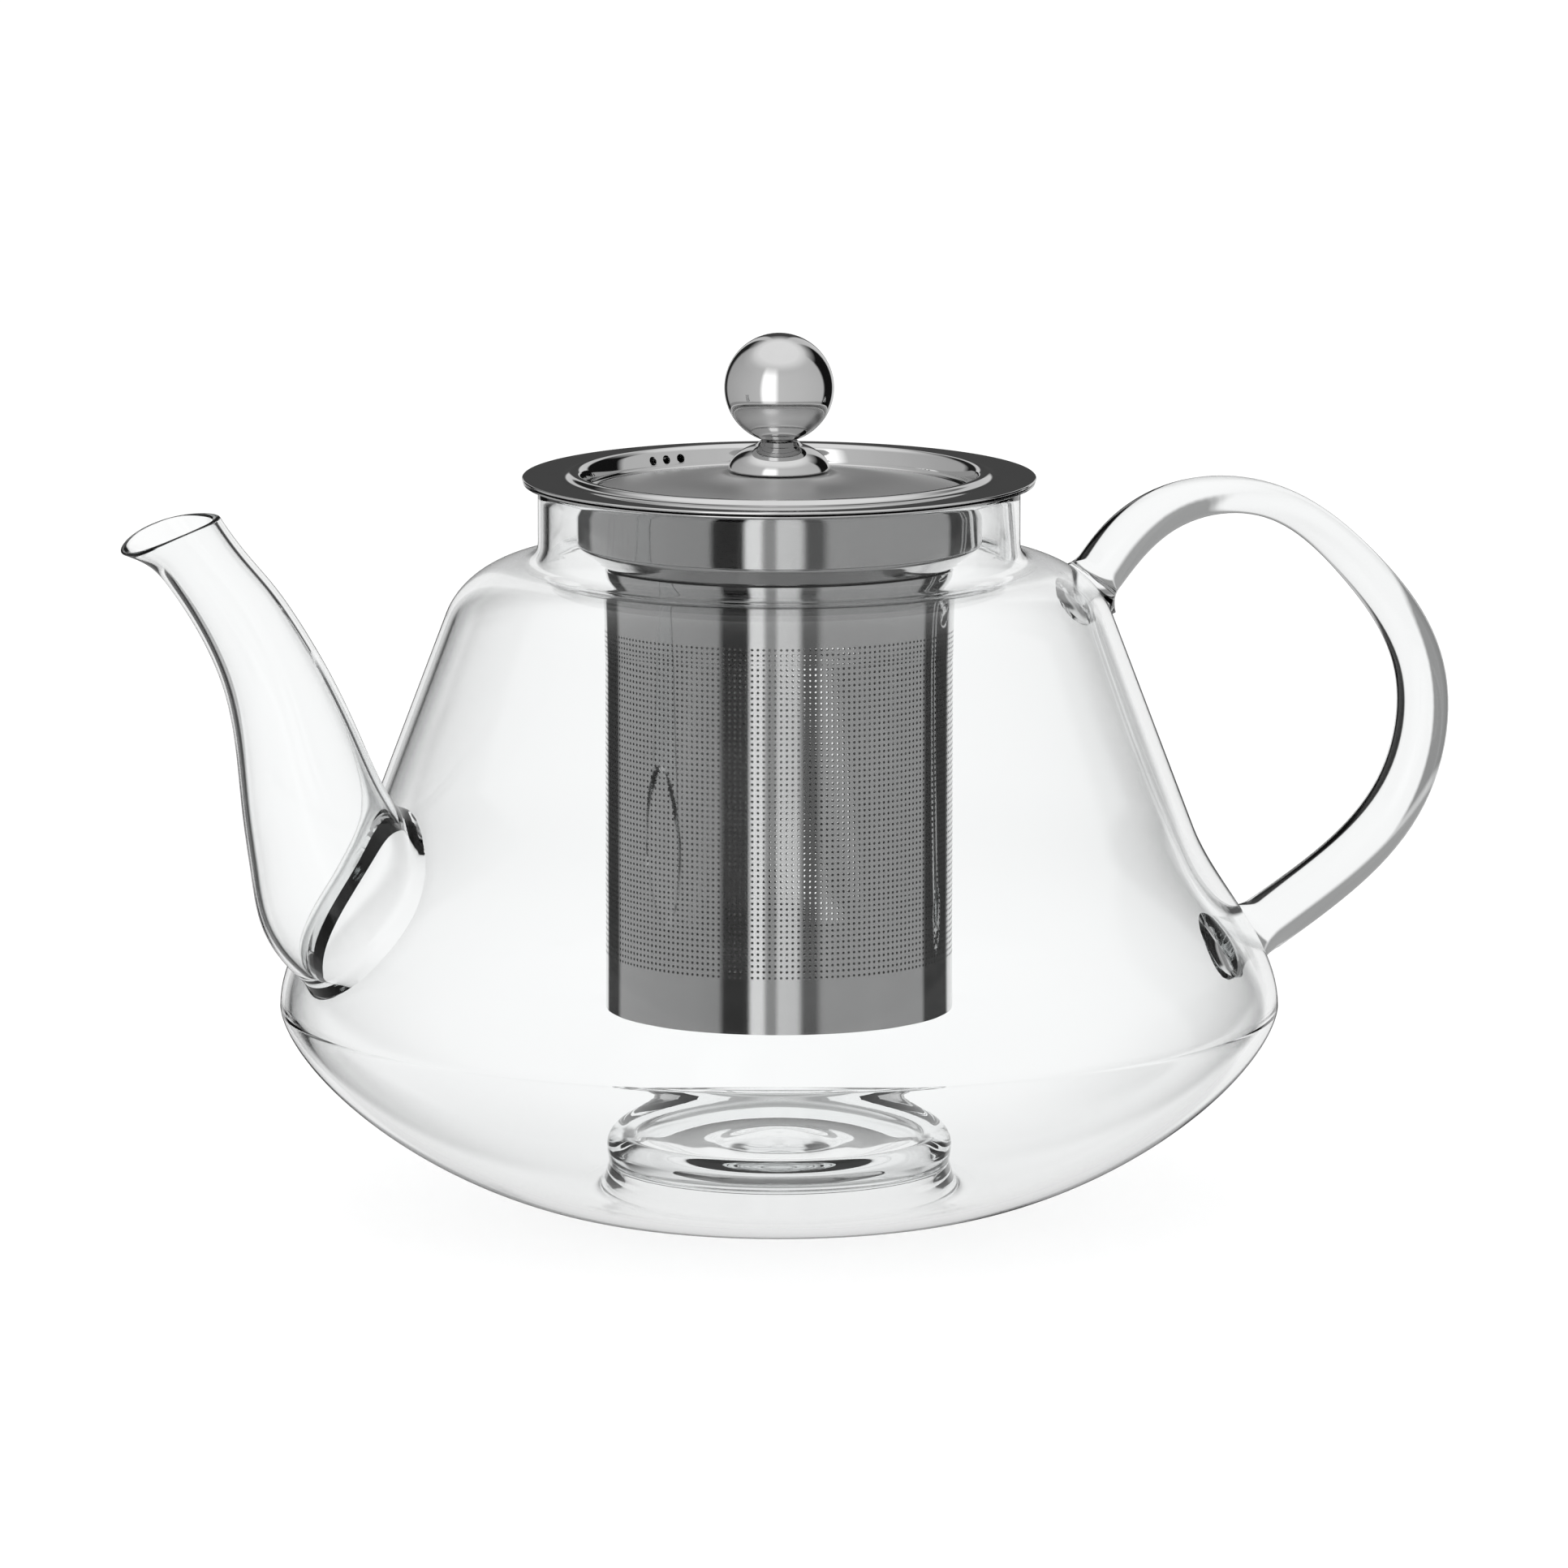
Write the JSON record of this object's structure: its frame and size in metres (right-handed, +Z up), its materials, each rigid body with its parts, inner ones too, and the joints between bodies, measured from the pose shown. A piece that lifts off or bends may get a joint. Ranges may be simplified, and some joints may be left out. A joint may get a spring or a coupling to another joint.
{
  "type": "glass teapot",
  "caption": "Clear glass teapot with a curved spout, a loop handle, a hanging perforated steel infuser and a lift-off steel lid with a ball knob.",
  "frame": {"origin": "the centre of the overall box at the height of the foot it stands on", "axes": "+Z up along the vessel's axis, the spout points to -X and the handle to +X"},
  "size_m": [0.261, 0.1836, 0.1613],
  "materials": {
    "clear_glass": "clear, fire polished",
    "polished_steel": "mirror polished stainless steel",
    "basket_steel": "satin stainless steel sheet",
    "fastener_steel": "plain stainless steel"
  },
  "bodies": {
    "vessel": {"glass_body": "clear_glass", "glass_spout": "clear_glass", "spout_seam": "clear_glass", "glass_handle": "clear_glass", "handle_upper_gob": "clear_glass", "handle_lower_gob": "clear_glass"},
    "infuser": {"infuser_collar": "basket_steel", "infuser_basket_wall": "basket_steel", "infuser_basket_floor": "basket_steel"},
    "lid": {"lid_pan": "polished_steel", "knob_ball": "polished_steel", "knob_foot": "polished_steel", "knob_screw": "fastener_steel", "knob_washer": "fastener_steel"}
  },
  "joints": [
    {"name": "infuser_lift", "type": "slide", "parent": "vessel", "child": "infuser", "axis": [0, 0, 1], "range_m": [0, 0.11]},
    {"name": "lid_lift", "type": "slide", "parent": "infuser", "child": "lid", "axis": [0, 0, 1], "range_m": [0, 0.05]}
  ]
}
